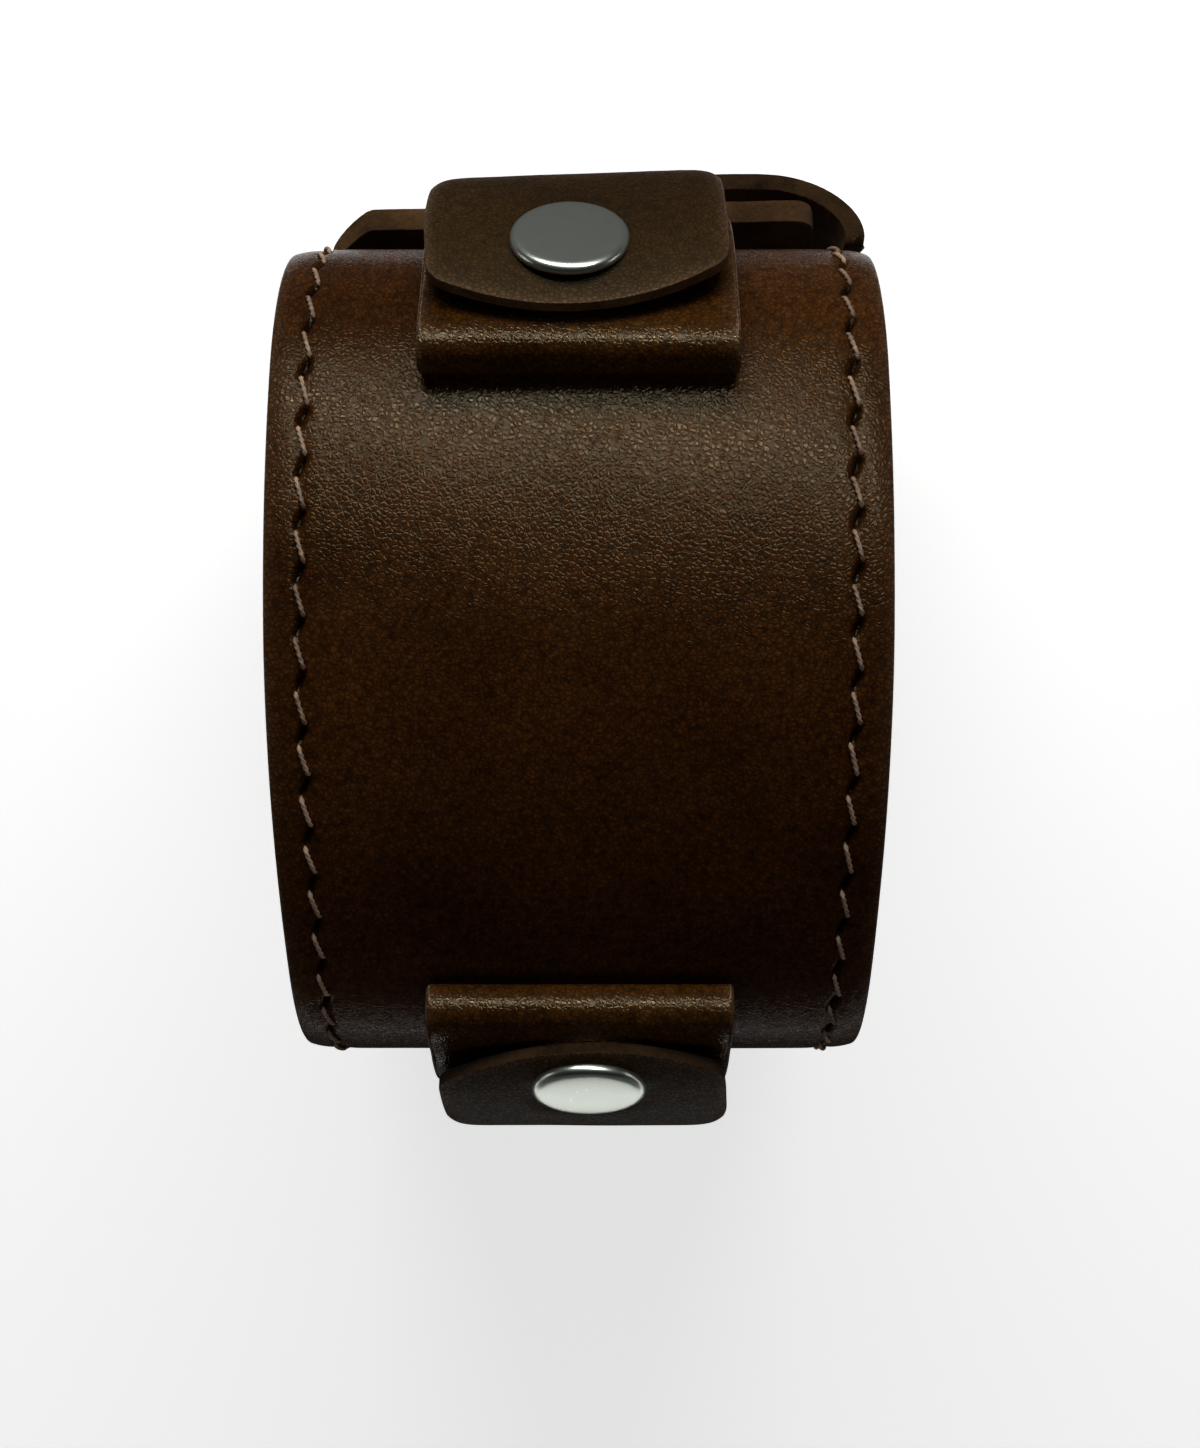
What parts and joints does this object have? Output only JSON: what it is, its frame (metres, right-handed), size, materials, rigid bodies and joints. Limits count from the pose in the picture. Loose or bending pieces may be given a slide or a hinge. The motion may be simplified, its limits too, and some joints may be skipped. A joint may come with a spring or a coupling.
{
  "type": "leather cuff watch band",
  "caption": "Wide stitched leather cuff that holds a wrist watch by its spring bars in two folded loops with snap flaps, closed by a snapped overlap at the back.",
  "frame": {"origin": "middle of the footprint on the ground, the cuff lying on its back", "axes": "+X along the wearer's forearm, +Y to 12 o'clock, +Z out of the front of the cuff"},
  "size_m": [0.0508, 0.0876, 0.0534],
  "materials": {
    "leather": "dark chestnut pull-up leather, satin, fine grain",
    "raw_leather": "undyed flesh side and raw cut edges",
    "lining": "thin soft lining leather, matt",
    "nickel": "satin nickel plate, polished rim",
    "inner_metal": "plain nickel plate, hidden inside the leather"
  },
  "bodies": {
    "cuff": {"cuff_outer": "leather", "cuff_lining": "lining", "closing_snap_studs": "nickel", "closing_snap_posts": "inner_metal", "top_strap": "leather", "top_flap_root": "leather", "top_snap_stud": "nickel", "top_snap_post": "inner_metal", "top_rivet_cap": "nickel", "top_rivet_post": "inner_metal", "bottom_strap": "leather", "bottom_flap_root": "leather", "bottom_snap_stud": "nickel", "bottom_snap_post": "inner_metal", "bottom_rivet_cap": "nickel", "bottom_rivet_post": "inner_metal"},
    "top_flap": {"top_flap": "leather", "top_snap_cap": "nickel", "top_snap_socket": "nickel"},
    "bottom_flap": {"bottom_flap": "leather", "bottom_snap_cap": "nickel", "bottom_snap_socket": "nickel"},
    "closing_band": {"closing_band_leather": "leather", "closing_band_lining": "raw_leather", "closing_snap_caps": "nickel", "closing_snap_sockets": "nickel"}
  },
  "joints": [
    {"name": "top_flap_bend", "type": "hinge", "parent": "cuff", "child": "top_flap", "pos_m": [0, 0.04222, 0.03438], "axis": [-1, 0, 0], "range_deg": [0, 75]},
    {"name": "bottom_flap_bend", "type": "hinge", "parent": "cuff", "child": "bottom_flap", "pos_m": [0, -0.04346, 0.03449], "axis": [1, 0, 0], "range_deg": [0, 85]},
    {"name": "closing_band_bend", "type": "hinge", "parent": "cuff", "child": "closing_band", "pos_m": [0, -0.03331, 0.018], "axis": [-1, 0, 0], "range_deg": [0, 90]}
  ]
}
